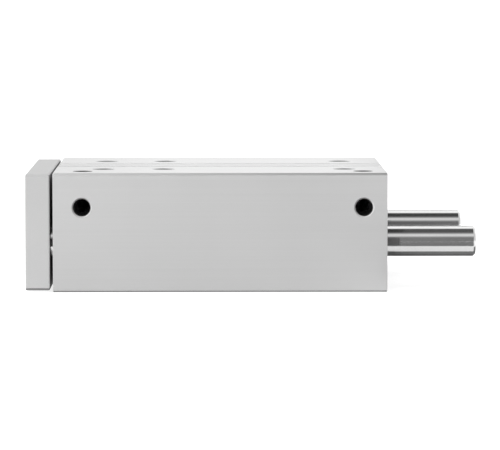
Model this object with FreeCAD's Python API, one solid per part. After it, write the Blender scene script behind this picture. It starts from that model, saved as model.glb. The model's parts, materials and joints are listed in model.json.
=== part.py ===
import FreeCAD
import Part
import math
import os

from FreeCAD import Vector

# Guided pneumatic cylinder, retracted. The stroke runs along X with the yoke plate at the -X end,
# Y runs across the two guide rods, and Z is up. The origin is the centre of the housing's underside.
# All sizes are in millimetres.

# Cylinder
bore_diameter = 63.0
stroke = 160.0
piston_rod_diameter = 20.0
cylinder_wall = 7.5  # housing above and below the bore
end_clearance = 0.1  # cushion to cap nose at each end of the stroke

# Guide
guide_rod_diameter = 20.0
guide_bush_wall = 4.0
guide_bush_length = 30.0
guide_spacer_length = 43.0
guide_wiper_length = 4.5
guide_drop = 7.0  # guide axes below the cylinder axis
guide_overhang = 58.5  # rods behind the housing when retracted
guide_relief = 2.0  # radial gap round the rods behind the bushes
bush_lead = 0.5
rod_end_chamfer = 1.5
rod_seat_chamfer = 0.5

# Webs of the housing between its bores, from the middle outwards, and its outer edges
bolt_web = 4.25
guide_web = 5.75
side_wall = 3.0
upper_edge_chamfer = 1.6
lower_edge_chamfer = 0.9
end_edge_chamfer = 0.4

# Mounting holes
bolt_core_diameter = 8.5
bolt_mouth_chamfer = 0.9
counterbore_diameter = 15.0
counterbore_depth = 9.0
counterbore_chamfer = 0.4
bolt_front_offset = 32.0
bolt_pitch = 40.0
drill_point_slope = 30.0  # degrees from square
rear_tap_depth = 16.0
rear_tap_spread = 54.0

# Supply ports
port_core_diameter = 11.45
port_thread_depth = 14.0
port_mouth_chamfer = 0.9
port_guide_web = 3.7
channel_diameter = 8.0
top_port_inset = 19.0
top_port_thread_depth = 10.0
plug_length = 8.0
plug_recess = 1.6
plug_chamfer = 0.6
plug_socket_flats = 6.0
plug_socket_depth = 4.5

# Sensor slots
slot_offset = 14.0
slot_opening = 5.2
slot_lip = 2.0
slot_width = 7.4
slot_depth = 5.6

# Retaining rings of the cylinder
ring_recess = 3.0
ring_thickness = 2.0
ring_groove_depth = 1.5
ring_groove_play = 0.15
ring_back_width = 6.2
ring_end_width = 3.4
ring_gap = 13.0
ring_lug_radius = 3.4
ring_lug_hole = 2.5

# Caps of the cylinder
oring_groove_width = 3.4
oring_groove_depth = 2.2
front_flange_land = 3.3
rear_flange_land = 1.45
front_nose_length = 7.0
rear_nose_length = 3.2
nose_diameter = 44.0
dish_diameter = 40.0
dish_depth = 1.2
centre_mark_diameter = 6.0
centre_mark_depth = 1.0
rod_bush_wall = 1.5
rod_bush_inset = 0.5
rod_seal_wall = 5.0
rod_seal_length = 5.5
rod_seal_lip = 1.4

# Lips of the rod seal and of the guide wipers
lip_tip = 0.5
lip_root = 1.4
lip_land = 1.0
lip_relief = 1.0

# Piston
piston_gap = 0.3
piston_land = 1.4
piston_rear_web = 1.2
piston_seal_width = 3.4
piston_seal_depth = 4.2
piston_seal_heel = 1.2
piston_seal_heel_gap = 0.4
piston_seal_lip = 0.8
wear_ring_width = 2.8
wear_ring_depth = 1.6
wear_ring_split = 1.5
magnet_width = 3.0
magnet_wall = 5.5
magnet_inset = 0.5
cushion_width = 6.5
cushion_proud = 1.2
cushion_seat_depth = 1.5
cushion_chamfer = 0.4
rod_spigot_diameter = 14.0
rod_oring_offset = 2.6
rod_oring_groove_width = 2.2
rod_oring_groove_depth = 1.3
clamp_head_diameter = 20.0
clamp_shank_diameter = 10.0
clamp_core_diameter = 8.4
clamp_engagement = 20.0
clamp_gap = 0.5
clamp_socket_flats = 6.0
clamp_socket_depth = 3.2

# Yoke plate and its screws
yoke_thickness = 16.0
yoke_gap = 2.0
yoke_inset = 1.0
yoke_corner_chamfer = 1.6
yoke_face_chamfer = 0.6
yoke_tap_spread = 44.0
rod_seat_depth = 2.0
screw_head_diameter = 18.0
screw_head_height = 7.0
screw_head_recess = 0.6
screw_shank_diameter = 12.0
screw_core_diameter = 10.2
screw_engagement = 22.0
screw_hole_spare = 4.0
screw_play = 0.5
screw_chamfer = 0.7
screw_socket_flats = 8.0
screw_socket_depth = 3.8

# Snap rings of the guide
snap_ring_thickness = 1.2
snap_ring_recess = 1.5
snap_ring_width = 2.4
snap_ring_groove_depth = 0.7
snap_ring_gap = 6.0

# Radial fits, and how far a cut reaches past the face that it opens
running_clearance = 0.03
lip_clearance = 0.05
seat_clearance = 0.02
thread_clearance = 0.03
cut_spare = 1.0

# Radii and cross-section
bore_radius = bore_diameter / 2
lip_radius = bore_radius - lip_clearance
piston_radius = bore_radius - piston_gap
magnet_radius = piston_radius - magnet_inset
nose_radius = nose_diameter / 2
piston_rod_radius = piston_rod_diameter / 2
guide_rod_radius = guide_rod_diameter / 2
guide_seat_radius = guide_rod_radius + guide_bush_wall
guide_relief_radius = guide_rod_radius + guide_relief
bolt_core_radius = bolt_core_diameter / 2
counterbore_radius = counterbore_diameter / 2
port_core_radius = port_core_diameter / 2
channel_radius = channel_diameter / 2
housing_height = bore_diameter + 2 * cylinder_wall
bolt_half_row = bore_radius + bolt_web + bolt_core_radius
guide_half_spacing = bolt_half_row + bolt_core_radius + guide_web + guide_seat_radius
half_width = guide_half_spacing + guide_seat_radius + side_wall
cylinder_z = housing_height / 2
guide_z = cylinder_z - guide_drop
port_z = guide_z + guide_seat_radius + port_guide_web + port_core_radius
top_port_y = top_port_inset - half_width

# Lengths, counted from the end faces of the housing inwards
cap_depth = ring_recess + ring_thickness
front_flange_end = cap_depth + oring_groove_width + 2 * front_flange_land
rear_flange_end = cap_depth + oring_groove_width + 2 * rear_flange_land
front_head_length = front_flange_end + front_nose_length
rear_head_length = rear_flange_end + rear_nose_length
clamp_head_depth = (clamp_head_diameter - clamp_shank_diameter) / 2
piston_rear_length = clamp_head_depth + piston_rear_web
piston_front_length = 3 * piston_land + wear_ring_width + piston_seal_width
piston_length = piston_rear_length + magnet_width + piston_front_length
chamber_length = piston_length + 2 * cushion_proud + 2 * end_clearance + stroke
housing_length = front_head_length + chamber_length + rear_head_length
wiper_depth = snap_ring_recess + snap_ring_thickness
front_bush_depth = wiper_depth + guide_wiper_length
spacer_depth = front_bush_depth + guide_bush_length
rear_bush_depth = spacer_depth + guide_spacer_length
guide_seat_depth = rear_bush_depth + guide_bush_length

# Stations along X
front_x = -housing_length / 2
rear_x = housing_length / 2
port_stations = [front_x + front_flange_end + channel_radius, rear_x - rear_flange_end - channel_radius]
bolt_stations = [front_x + bolt_front_offset + step for step in (0, bolt_pitch, stroke)]
bolt_rows = [-bolt_half_row, bolt_half_row]
yoke_inner_x = front_x - yoke_gap
yoke_outer_x = yoke_inner_x - yoke_thickness
screw_head_x = yoke_outer_x + screw_head_recess
screw_seat_x = screw_head_x + screw_head_height
rod_front_x = yoke_inner_x - rod_seat_depth
guide_rear_x = rear_x + guide_overhang
piston_rear_x = rear_x - rear_head_length - end_clearance - cushion_proud
piston_split_x = piston_rear_x - piston_rear_length
magnet_front_x = piston_split_x - magnet_width
piston_front_x = piston_rear_x - piston_length
front_seal_x = piston_front_x + piston_land
wear_ring_x = front_seal_x + piston_seal_width + piston_land
rear_seal_x = (piston_split_x + piston_rear_x - piston_seal_width) / 2
rod_oring_x = piston_front_x + rod_oring_offset
spigot_end_x = piston_split_x - clamp_gap

axis_x = Vector(1, 0, 0)
axis_y = Vector(0, 1, 0)
axis_z = Vector(0, 0, 1)
origin = Vector(0, 0, 0)
cylinder_axis = Vector(0, 0, cylinder_z)
front_cap_base = Vector(front_x, 0, cylinder_z)
rear_cap_base = Vector(rear_x, 0, cylinder_z)
guide_sides = {"left": -guide_half_spacing, "right": guide_half_spacing}


# Shape helpers

def turned(profile, base=origin, axis=axis_x):
    # Solid of revolution: corners are (distance along the axis from the base, radius).
    corners = [Vector(station, radius, 0) for station, radius in profile]
    face = Part.Face(Part.makePolygon(corners + corners[:1]))
    solid = face.revolve(origin, axis_x, 360)
    if solid.Volume < 0:
        solid.reverse()
    solid.Placement = FreeCAD.Placement(base, FreeCAD.Rotation(axis_x, axis))
    return solid


def ring(start, end, inner, outer, base):
    return turned([(start, inner), (start, outer), (end, outer), (end, inner)], base)


def box(low, high):
    return Part.makeBox(high[0] - low[0], high[1] - low[1], high[2] - low[2], Vector(*low))


def hexagon_socket(flats, depth, mouth, inwards):
    corner = flats / math.sqrt(3)
    angles = [math.radians(60 * i) for i in range(7)]
    points = [Vector(0, corner * math.cos(a), corner * math.sin(a)) for a in angles]
    prism = Part.Face(Part.makePolygon(points)).extrude(axis_x * depth)
    prism.Placement = FreeCAD.Placement(mouth, FreeCAD.Rotation(axis_x, inwards))
    return prism


def tapped_hole(mouth, inwards, radius, depth, chamfer):
    # Blind hole at the core of its thread, with a conical mouth and a drill point.
    point = radius * math.tan(math.radians(drill_point_slope))
    profile = [
        (-chamfer, 0),
        (-chamfer, radius + 2 * chamfer),
        (chamfer, radius),
        (depth, radius),
        (depth + point, 0),
    ]
    return turned(profile, mouth, inwards)


def edges_along_x(solid, low_z, high_z):
    long_edges = [edge for edge in solid.Edges if edge.BoundBox.XLength > solid.BoundBox.XLength / 2]
    return [edge for edge in long_edges if low_z < edge.CenterOfMass.z < high_z]


def end_face_edges(solid):
    ends = (solid.BoundBox.XMin, solid.BoundBox.XMax)
    flat = [edge for edge in solid.Edges if edge.BoundBox.XLength < end_edge_chamfer / 2]
    return [edge for edge in flat if min(abs(edge.CenterOfMass.x - x) for x in ends) < end_edge_chamfer / 2]


def chamfered_block(low, high, lower_chamfer, upper_chamfer, end_chamfer):
    block = box(low, high)
    middle_z = (low[2] + high[2]) / 2
    block = block.makeChamfer(lower_chamfer, edges_along_x(block, low[2] - cut_spare, middle_z))
    block = block.makeChamfer(upper_chamfer, edges_along_x(block, middle_z, high[2] + cut_spare))
    return block.makeChamfer(end_chamfer, end_face_edges(block))


# Housing

def sensor_slot(y):
    # T-slot along the whole top face.
    start = front_x - cut_spare
    end = rear_x + cut_spare
    lip_z = housing_height - slot_lip
    floor_z = housing_height - slot_depth
    half_mouth = slot_opening / 2
    half_pocket = slot_width / 2
    outline = [
        (-half_mouth, housing_height + cut_spare),
        (-half_mouth, lip_z),
        (-half_pocket, lip_z),
        (-half_pocket, floor_z),
        (half_pocket, floor_z),
        (half_pocket, lip_z),
        (half_mouth, lip_z),
        (half_mouth, housing_height + cut_spare),
    ]
    points = [Vector(start, y + across, z) for across, z in outline]
    return Part.Face(Part.makePolygon(points + points[:1])).extrude(axis_x * (end - start))


def mounting_hole(x, y):
    # Through hole, counterbored from above and tapped from below.
    seat = housing_height - counterbore_depth
    profile = [
        (-bolt_mouth_chamfer, 0),
        (-bolt_mouth_chamfer, bolt_core_radius + 2 * bolt_mouth_chamfer),
        (bolt_mouth_chamfer, bolt_core_radius),
        (seat, bolt_core_radius),
        (seat, counterbore_radius),
        (housing_height - counterbore_chamfer, counterbore_radius),
        (housing_height + counterbore_chamfer, counterbore_radius + 2 * counterbore_chamfer),
        (housing_height + counterbore_chamfer, 0),
    ]
    return turned(profile, Vector(x, y, 0), axis_z)


def supply_port(x):
    # Side port with its channel into the bore, and the top port that meets the channel.
    side = Vector(x, -half_width, port_z)
    top = Vector(x, top_port_y, housing_height)
    bore_edge = math.sqrt(bore_radius**2 - (port_z - cylinder_z) ** 2)
    channel_length = half_width - bore_edge + channel_radius
    return [
        tapped_hole(side, axis_y, port_core_radius, port_thread_depth, port_mouth_chamfer),
        Part.makeCylinder(channel_radius, channel_length, side, axis_y),
        tapped_hole(top, -axis_z, port_core_radius, top_port_thread_depth, port_mouth_chamfer),
        Part.makeCylinder(channel_radius, housing_height - port_z, top, -axis_z),
    ]


def guide_bore(y):
    # Seat for the bushes from the front, then a clearance bore to the rear.
    groove = guide_seat_radius + snap_ring_groove_depth
    groove_end = wiper_depth + ring_groove_play
    profile = [
        (-cut_spare, 0),
        (-cut_spare, guide_seat_radius),
        (snap_ring_recess, guide_seat_radius),
        (snap_ring_recess, groove),
        (groove_end, groove),
        (groove_end, guide_seat_radius),
        (guide_seat_depth, guide_seat_radius),
        (guide_seat_depth, guide_relief_radius),
        (housing_length - end_edge_chamfer, guide_relief_radius),
        (housing_length + end_edge_chamfer, guide_relief_radius + 2 * end_edge_chamfer),
        (housing_length + end_edge_chamfer, 0),
    ]
    return turned(profile, guide_base(y))


def cylinder_bore():
    # Straight bore with a retaining ring groove near each end.
    groove = bore_radius + ring_groove_depth
    groove_end = cap_depth + ring_groove_play
    profile = [
        (-cut_spare, 0),
        (-cut_spare, bore_radius),
        (ring_recess, bore_radius),
        (ring_recess, groove),
        (groove_end, groove),
        (groove_end, bore_radius),
        (housing_length - groove_end, bore_radius),
        (housing_length - groove_end, groove),
        (housing_length - ring_recess, groove),
        (housing_length - ring_recess, bore_radius),
        (housing_length + cut_spare, bore_radius),
        (housing_length + cut_spare, 0),
    ]
    return turned(profile, front_cap_base)


def rear_taps():
    heights = (cylinder_z - rear_tap_spread / 2, cylinder_z + rear_tap_spread / 2)
    mouths = [Vector(rear_x, y, z) for y in bolt_rows for z in heights]
    return [tapped_hole(m, -axis_x, bolt_core_radius, rear_tap_depth, bolt_mouth_chamfer) for m in mouths]


def housing():
    low = (front_x, -half_width, 0)
    high = (rear_x, half_width, housing_height)
    block = chamfered_block(low, high, lower_edge_chamfer, upper_edge_chamfer, end_edge_chamfer)
    cuts = [cylinder_bore(), sensor_slot(-slot_offset), sensor_slot(slot_offset)]
    cuts += [guide_bore(y) for y in guide_sides.values()]
    cuts += [mounting_hole(x, y) for x in bolt_stations for y in bolt_rows]
    cuts += rear_taps()
    for x in port_stations:
        cuts += supply_port(x)
    return block.cut(cuts)


def port_plugs():
    # Socket plugs that close the two top ports.
    radius = port_core_radius - thread_clearance
    profile = [
        (plug_recess, 0),
        (plug_recess, radius - plug_chamfer),
        (plug_recess + plug_chamfer, radius),
        (plug_recess + plug_length, radius),
        (plug_recess + plug_length, 0),
    ]
    plugs = []
    for x in port_stations:
        top = Vector(x, top_port_y, housing_height)
        socket = hexagon_socket(plug_socket_flats, plug_socket_depth, top - axis_z * plug_recess, -axis_z)
        plugs.append(turned(profile, top, -axis_z).cut(socket))
    return Part.makeCompound(plugs)


# Front head: distances run from the front face of the housing inwards

def lip_ring(start, length, lip, inner, outer, base):
    # Seal body in its seat, with a wiping lip that leans out along the rod.
    end = start + length
    profile = [
        (start - lip, inner),
        (start - lip, inner + lip_tip),
        (start, inner + lip_root),
        (start, outer),
        (end, outer),
        (end, inner + lip_relief),
        (start + lip_land + lip_relief, inner + lip_relief),
        (start + lip_land, inner),
    ]
    return turned(profile, base)


def cap_oring(groove_start, base, inwards):
    middle = base + inwards * (groove_start + oring_groove_width / 2)
    section_radius = oring_groove_depth / 2 - lip_clearance
    return Part.makeTorus(lip_radius - oring_groove_depth / 2, section_radius, middle, inwards)


def bearing_cap():
    groove_start = cap_depth + front_flange_land
    groove_end = groove_start + oring_groove_width
    groove = lip_radius - oring_groove_depth
    seal_end = cap_depth + rod_seal_length
    seal_radius = piston_rod_radius + rod_seal_wall
    bush_radius = piston_rod_radius + rod_bush_wall
    profile = [
        (cap_depth, seal_radius),
        (cap_depth, lip_radius),
        (groove_start, lip_radius),
        (groove_start, groove),
        (groove_end, groove),
        (groove_end, lip_radius),
        (front_flange_end, lip_radius),
        (front_flange_end, nose_radius),
        (front_head_length, nose_radius),
        (front_head_length, bush_radius),
        (seal_end, bush_radius),
        (seal_end, seal_radius),
    ]
    return turned(profile, front_cap_base)


def bearing_cap_oring():
    return cap_oring(cap_depth + front_flange_land, front_cap_base, axis_x)


def rod_bush():
    start = cap_depth + rod_seal_length
    end = front_head_length - rod_bush_inset
    inner = piston_rod_radius + running_clearance
    outer = piston_rod_radius + rod_bush_wall - seat_clearance
    return ring(start, end, inner, outer, front_cap_base)


def rod_seal():
    inner = piston_rod_radius + lip_clearance
    outer = piston_rod_radius + rod_seal_wall - seat_clearance
    return lip_ring(cap_depth, rod_seal_length, rod_seal_lip, inner, outer, front_cap_base)


def retaining_ring(base, inwards):
    # Internal retaining ring: wide at the back, narrow at the ends, with two lugs for the pliers.
    outer = bore_radius + ring_groove_depth - lip_clearance
    inner = outer - (ring_back_width + ring_end_width) / 2
    shift = axis_z * ((ring_back_width - ring_end_width) / 2)
    start = base + inwards * ring_recess
    middle = start + inwards * (ring_thickness / 2)
    disc = Part.makeCylinder(outer, ring_thickness, start, inwards)
    hole = Part.makeCylinder(inner, ring_thickness, start + shift, inwards)
    mouth = box((-ring_thickness, -ring_gap / 2, 0), (ring_thickness, ring_gap / 2, outer + cut_spare))
    mouth.translate(middle)
    body = disc.cut([hole, mouth])
    lug_y = ring_gap / 2 + ring_lug_radius
    lug_z = math.sqrt((bore_radius - ring_lug_radius) ** 2 - lug_y**2)
    for side in (-1, 1):
        centre = start + axis_y * (side * lug_y) + axis_z * lug_z
        lug = Part.makeCylinder(ring_lug_radius, ring_thickness, centre, inwards)
        hole = Part.makeCylinder(ring_lug_hole / 2, ring_thickness, centre, inwards)
        body = body.fuse(lug).cut(hole)
    return body.removeSplitter()


def front_retaining_ring():
    return retaining_ring(front_cap_base, axis_x)


# Rear head: distances run from the rear face of the housing inwards

def end_cap():
    groove_start = cap_depth + rear_flange_land
    groove_end = groove_start + oring_groove_width
    groove = lip_radius - oring_groove_depth
    dish_floor = cap_depth + dish_depth
    profile = [
        (dish_floor + centre_mark_depth, 0),
        (dish_floor, centre_mark_diameter / 2),
        (dish_floor, dish_diameter / 2),
        (cap_depth, dish_diameter / 2 + dish_depth),
        (cap_depth, lip_radius),
        (groove_start, lip_radius),
        (groove_start, groove),
        (groove_end, groove),
        (groove_end, lip_radius),
        (rear_flange_end, lip_radius),
        (rear_flange_end, nose_radius),
        (rear_head_length, nose_radius),
        (rear_head_length, 0),
    ]
    return turned(profile, rear_cap_base, -axis_x)


def end_cap_oring():
    return cap_oring(cap_depth + rear_flange_land, rear_cap_base, -axis_x)


def rear_retaining_ring():
    return retaining_ring(rear_cap_base, -axis_x)


# Guide bearings: distances run from the front face of the housing inwards

def guide_base(y):
    return Vector(front_x, y, guide_z)


def guide_sleeve(start, length, inner, y):
    outer = guide_seat_radius - seat_clearance
    end = start + length
    profile = [
        (start, inner + bush_lead),
        (start, outer),
        (end, outer),
        (end, inner + bush_lead),
        (end - bush_lead, inner),
        (start + bush_lead, inner),
    ]
    return turned(profile, guide_base(y))


def guide_bush_front(y):
    return guide_sleeve(front_bush_depth, guide_bush_length, guide_rod_radius + running_clearance, y)


def guide_bush_rear(y):
    return guide_sleeve(rear_bush_depth, guide_bush_length, guide_rod_radius + running_clearance, y)


def guide_spacer(y):
    return guide_sleeve(spacer_depth, guide_spacer_length, guide_relief_radius, y)


def guide_wiper(y):
    inner = guide_rod_radius + lip_clearance
    outer = guide_seat_radius - seat_clearance
    return lip_ring(wiper_depth, guide_wiper_length, snap_ring_thickness, inner, outer, guide_base(y))


def guide_snap_rings():
    # One open ring in front of each wiper.
    outer = guide_seat_radius + snap_ring_groove_depth - lip_clearance
    low = (-cut_spare, -snap_ring_gap / 2, 0)
    high = (snap_ring_thickness + cut_spare, snap_ring_gap / 2, outer + cut_spare)
    rings = []
    for y in guide_sides.values():
        base = guide_base(y) + axis_x * snap_ring_recess
        gap = box(low, high)
        gap.translate(base)
        rings.append(ring(0, snap_ring_thickness, outer - snap_ring_width, outer, base).cut(gap))
    return Part.makeCompound(rings)


# Piston: distances are stations along X

def piston_groove(start, width, depth):
    return ring(start, start + width, piston_radius - depth, piston_radius + cut_spare, cylinder_axis)


def piston_front():
    # Front half, with a spigot that carries the magnet.
    hole = rod_spigot_diameter / 2 + seat_clearance
    seat_inner = nose_radius - cushion_width - lip_clearance
    seat_outer = nose_radius + lip_clearance
    seat_floor = piston_front_x + cushion_seat_depth
    spigot = magnet_radius - magnet_wall
    profile = [
        (piston_front_x, hole),
        (piston_front_x, seat_inner),
        (seat_floor, seat_inner),
        (seat_floor, seat_outer),
        (piston_front_x, seat_outer),
        (piston_front_x, piston_radius),
        (magnet_front_x, piston_radius),
        (magnet_front_x, spigot),
        (piston_split_x, spigot),
        (piston_split_x, hole),
    ]
    seal_groove = piston_groove(front_seal_x, piston_seal_width, piston_seal_depth)
    wear_groove = piston_groove(wear_ring_x, wear_ring_width, wear_ring_depth)
    return turned(profile, cylinder_axis).cut([seal_groove, wear_groove])


def piston_rear():
    # Rear half, countersunk for the screw that clamps both halves to the rod.
    hole = clamp_shank_diameter / 2 + lip_clearance
    seat_inner = nose_radius - cushion_width - lip_clearance
    seat_outer = nose_radius + lip_clearance
    seat_floor = piston_rear_x - cushion_seat_depth
    profile = [
        (piston_split_x, hole),
        (piston_split_x, piston_radius),
        (piston_rear_x, piston_radius),
        (piston_rear_x, seat_outer),
        (seat_floor, seat_outer),
        (seat_floor, seat_inner),
        (piston_rear_x, seat_inner),
        (piston_rear_x, hole + clamp_head_depth),
        (piston_rear_x - clamp_head_depth, hole),
    ]
    seal_groove = piston_groove(rear_seal_x, piston_seal_width, piston_seal_depth)
    return turned(profile, cylinder_axis).cut(seal_groove)


def piston_magnet():
    inner = magnet_radius - magnet_wall + seat_clearance
    return ring(magnet_front_x, piston_split_x, inner, magnet_radius, cylinder_axis)


def piston_wear_ring():
    inner = piston_radius - wear_ring_depth + seat_clearance
    start = wear_ring_x + seat_clearance
    end = wear_ring_x + wear_ring_width - seat_clearance
    band = ring(start, end, inner, lip_radius, cylinder_axis)
    low = (start - cut_spare, -wear_ring_split / 2, cylinder_z)
    high = (end + cut_spare, wear_ring_split / 2, cylinder_z + bore_radius)
    return band.cut(box(low, high))


def piston_seal(heel_x, mouth):
    # Lip seal that opens towards its chamber; mouth is the direction in which it opens.
    inner = piston_radius - piston_seal_depth + seat_clearance
    heel_radius = lip_radius - piston_seal_heel_gap
    end = piston_seal_width - seat_clearance
    profile = [
        (seat_clearance, inner),
        (seat_clearance, heel_radius),
        (piston_seal_heel, heel_radius),
        (end - piston_seal_heel_gap, lip_radius),
        (end, lip_radius),
        (end, lip_radius - piston_seal_lip),
        (piston_seal_heel, (inner + lip_radius) / 2),
        (end, inner + piston_seal_lip),
        (end, inner),
    ]
    return turned(profile, Vector(heel_x, 0, cylinder_z), mouth)


def piston_seal_front():
    return piston_seal(front_seal_x + piston_seal_width, -axis_x)


def piston_seal_rear():
    return piston_seal(rear_seal_x, axis_x)


def cushion(seat_x, outwards):
    inner = nose_radius - cushion_width
    height = cushion_seat_depth + cushion_proud
    profile = [
        (0, inner),
        (0, nose_radius),
        (height - cushion_chamfer, nose_radius),
        (height, nose_radius - cushion_chamfer),
        (height, inner + cushion_chamfer),
        (height - cushion_chamfer, inner),
    ]
    return turned(profile, Vector(seat_x, 0, cylinder_z), outwards)


def cushion_front():
    return cushion(piston_front_x + cushion_seat_depth, -axis_x)


def cushion_rear():
    return cushion(piston_rear_x - cushion_seat_depth, axis_x)


def piston_rod():
    # Tapped at both ends, with a spigot for the piston and a groove for its static seal.
    spigot = rod_spigot_diameter / 2
    groove = spigot - rod_oring_groove_depth
    groove_end = rod_oring_x + rod_oring_groove_width
    profile = [
        (rod_front_x, 0),
        (rod_front_x, piston_rod_radius - rod_seat_chamfer),
        (rod_front_x + rod_seat_chamfer, piston_rod_radius),
        (piston_front_x, piston_rod_radius),
        (piston_front_x, spigot),
        (rod_oring_x, spigot),
        (rod_oring_x, groove),
        (groove_end, groove),
        (groove_end, spigot),
        (spigot_end_x, spigot),
        (spigot_end_x, 0),
    ]
    clamp_tap = Part.makeCylinder(
        clamp_core_diameter / 2 + thread_clearance,
        clamp_engagement + screw_hole_spare,
        Vector(spigot_end_x, 0, cylinder_z),
        -axis_x,
    )
    front_tap = rod_tap(Vector(rod_front_x, 0, cylinder_z))
    return turned(profile, cylinder_axis).cut([front_tap, clamp_tap])


def piston_rod_oring():
    section_radius = (rod_oring_groove_depth - lip_clearance) / 2
    centre = Vector(rod_oring_x + rod_oring_groove_width / 2, 0, cylinder_z)
    return Part.makeTorus((rod_spigot_diameter - rod_oring_groove_depth) / 2, section_radius, centre, axis_x)


def piston_screw():
    # Countersunk screw through the rear half into the rod.
    core = clamp_core_diameter / 2
    shank = clamp_shank_diameter / 2
    tip_x = spigot_end_x - clamp_engagement
    profile = [
        (tip_x, 0),
        (tip_x, core - screw_chamfer),
        (tip_x + screw_chamfer, core),
        (spigot_end_x, core),
        (spigot_end_x, shank),
        (piston_rear_x - clamp_head_depth, shank),
        (piston_rear_x, clamp_head_diameter / 2),
        (piston_rear_x, 0),
    ]
    mouth = Vector(piston_rear_x, 0, cylinder_z)
    socket = hexagon_socket(clamp_socket_flats, clamp_socket_depth, mouth, -axis_x)
    return turned(profile, cylinder_axis).cut(socket)


# Yoke plate, guide rods and their screws: distances are stations along X

def rod_tap(mouth):
    radius = screw_core_diameter / 2 + thread_clearance
    return Part.makeCylinder(radius, screw_engagement + screw_hole_spare, mouth, axis_x)


def guide_rod(y):
    profile = [
        (rod_front_x, 0),
        (rod_front_x, guide_rod_radius - rod_seat_chamfer),
        (rod_front_x + rod_seat_chamfer, guide_rod_radius),
        (guide_rear_x - rod_end_chamfer, guide_rod_radius),
        (guide_rear_x, guide_rod_radius - rod_end_chamfer),
        (guide_rear_x, 0),
    ]
    rod = turned(profile, Vector(0, y, guide_z))
    return rod.cut(rod_tap(Vector(rod_front_x, y, guide_z)))


def rod_places():
    # Axis and radius of the three rods that the yoke plate carries.
    guides = [(Vector(0, y, guide_z), guide_rod_radius) for y in guide_sides.values()]
    return guides + [(cylinder_axis, piston_rod_radius)]


def yoke_screw_hole(axis_point, rod_radius):
    # Counterbore for the screw head, hole for its shank, and a seat for the rod behind.
    head = screw_head_diameter / 2 + screw_play
    shank = screw_shank_diameter / 2 + screw_play
    seat = rod_radius + seat_clearance
    profile = [
        (yoke_outer_x - screw_chamfer, 0),
        (yoke_outer_x - screw_chamfer, head + 2 * screw_chamfer),
        (yoke_outer_x + screw_chamfer, head),
        (screw_seat_x, head),
        (screw_seat_x, shank),
        (rod_front_x, shank),
        (rod_front_x, seat),
        (yoke_inner_x + cut_spare, seat),
        (yoke_inner_x + cut_spare, 0),
    ]
    return turned(profile, axis_point)


def yoke_tap(y, z):
    # Through thread for the load.
    profile = [
        (yoke_outer_x - bolt_mouth_chamfer, 0),
        (yoke_outer_x - bolt_mouth_chamfer, bolt_core_radius + 2 * bolt_mouth_chamfer),
        (yoke_outer_x + bolt_mouth_chamfer, bolt_core_radius),
        (yoke_inner_x + cut_spare, bolt_core_radius),
        (yoke_inner_x + cut_spare, 0),
    ]
    return turned(profile, Vector(0, y, z))


def yoke_plate():
    low = (yoke_outer_x, yoke_inset - half_width, yoke_inset)
    high = (yoke_inner_x, half_width - yoke_inset, housing_height - yoke_inset)
    plate = chamfered_block(low, high, yoke_corner_chamfer, yoke_corner_chamfer, yoke_face_chamfer)
    heights = (cylinder_z - yoke_tap_spread / 2, cylinder_z + yoke_tap_spread / 2)
    cuts = [yoke_screw_hole(*place) for place in rod_places()]
    cuts += [yoke_tap(y, z) for y in bolt_rows for z in heights]
    return plate.cut(cuts)


def yoke_screws():
    # Three low-head socket screws, one into each rod.
    head = screw_head_diameter / 2
    shank = screw_shank_diameter / 2
    core = screw_core_diameter / 2
    tip_x = rod_front_x + screw_engagement
    profile = [
        (screw_head_x, 0),
        (screw_head_x, head - screw_chamfer),
        (screw_head_x + screw_chamfer, head),
        (screw_seat_x, head),
        (screw_seat_x, shank),
        (rod_front_x - screw_chamfer, shank),
        (rod_front_x, core),
        (tip_x - screw_chamfer, core),
        (tip_x, core - screw_chamfer),
        (tip_x, 0),
    ]
    screws = []
    for axis_point, _ in rod_places():
        mouth = axis_point + axis_x * screw_head_x
        socket = hexagon_socket(screw_socket_flats, screw_socket_depth, mouth, axis_x)
        screws.append(turned(profile, axis_point).cut(socket))
    return Part.makeCompound(screws)


# Assembly: one file for each named piece

single_pieces = [
    housing,
    port_plugs,
    bearing_cap,
    bearing_cap_oring,
    rod_bush,
    rod_seal,
    front_retaining_ring,
    end_cap,
    end_cap_oring,
    rear_retaining_ring,
    guide_snap_rings,
    piston_front,
    piston_rear,
    piston_magnet,
    piston_wear_ring,
    piston_seal_front,
    piston_seal_rear,
    cushion_front,
    cushion_rear,
    piston_rod,
    piston_rod_oring,
    piston_screw,
    yoke_plate,
    yoke_screws,
]
paired_pieces = [guide_rod, guide_wiper, guide_bush_front, guide_spacer, guide_bush_rear]

pieces = {make.__name__: make() for make in single_pieces}
for make in paired_pieces:
    for side, side_y in guide_sides.items():
        pieces[make.__name__ + "_" + side] = make(side_y)

os.makedirs("parts", exist_ok=True)
for name, shape in pieces.items():
    for solid in shape.Solids:
        if not solid.isValid() or solid.Volume <= 0:
            raise ValueError(name + " is not a sound solid")
    shape.exportStep("parts/" + name + ".step")
print(len(pieces), "pieces, housing", housing_length, 2 * half_width, housing_height)
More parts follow.
